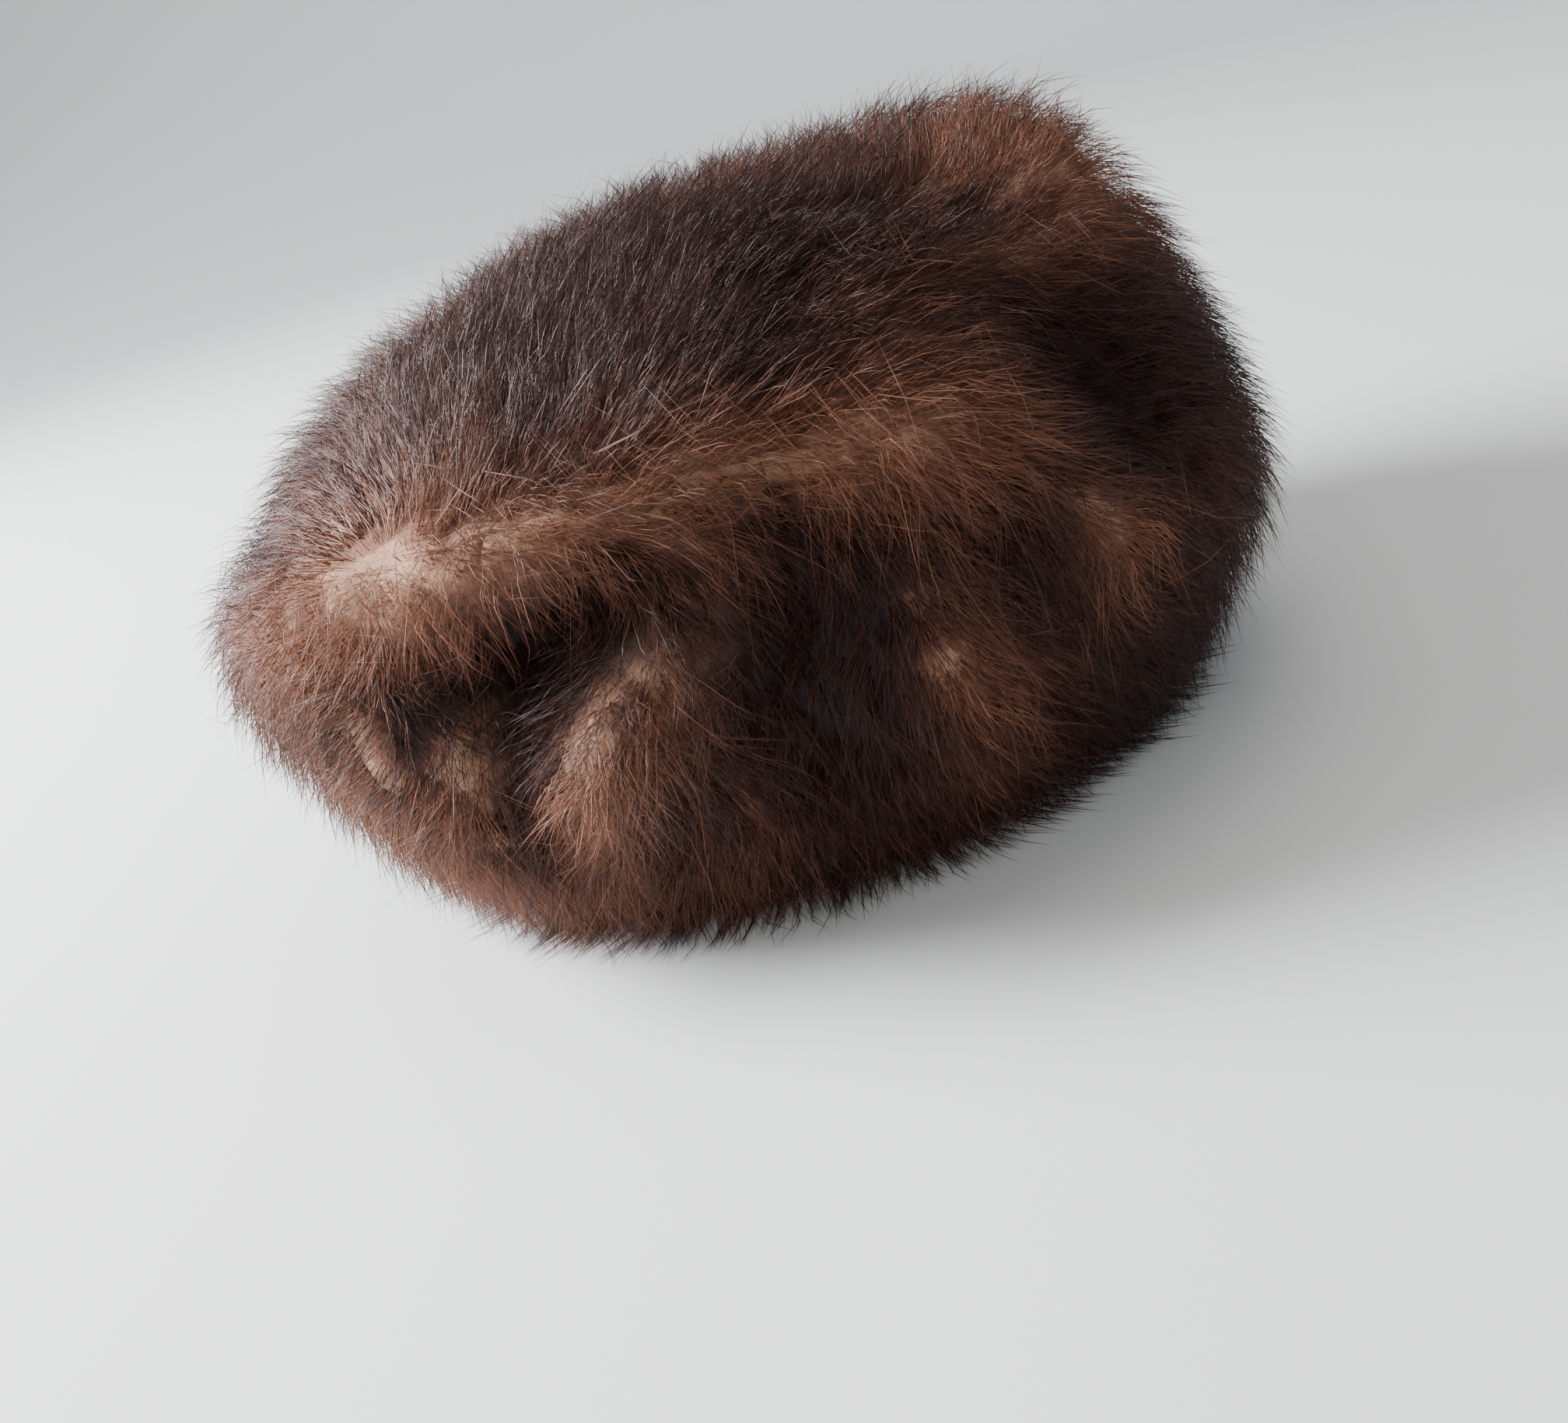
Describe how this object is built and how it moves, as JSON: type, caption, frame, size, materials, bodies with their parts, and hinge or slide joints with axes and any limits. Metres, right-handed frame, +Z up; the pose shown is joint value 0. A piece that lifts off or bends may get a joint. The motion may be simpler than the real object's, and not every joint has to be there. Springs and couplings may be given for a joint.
{
  "type": "mink fur hat",
  "caption": "Soft round crown hat of deep brown mink fur on leather, slouched to the back, without a brim, hollow to go on a head.",
  "frame": {"origin": "on the plane that the rim rests on, under the middle of the hat's outer box", "axes": "+Z up, +X the wearer's front, +Y the wearer's left"},
  "size_m": [0.2995, 0.2878, 0.1687],
  "materials": {
    "pelt_leather": "undyed suede, matt",
    "mink_fur": "deep brown mink, dark glossy guard hair over tan underfur"
  },
  "bodies": {
    "root": {"top_skin_back": "pelt_leather", "top_skin_front": "pelt_leather", "side_skin_back_right": "pelt_leather", "side_skin_right_back": "pelt_leather", "side_skin_right": "pelt_leather", "side_skin_front_right": "pelt_leather", "side_skin_front": "pelt_leather", "side_skin_left": "pelt_leather", "side_skin_back_left": "pelt_leather", "top_fur_back": "mink_fur", "top_fur_front": "mink_fur", "side_fur_back_right": "mink_fur", "side_fur_right_back": "mink_fur", "side_fur_right": "mink_fur", "side_fur_front_right": "mink_fur", "side_fur_front": "mink_fur", "side_fur_left": "mink_fur", "side_fur_back_left": "mink_fur"}
  },
  "joints": []
}
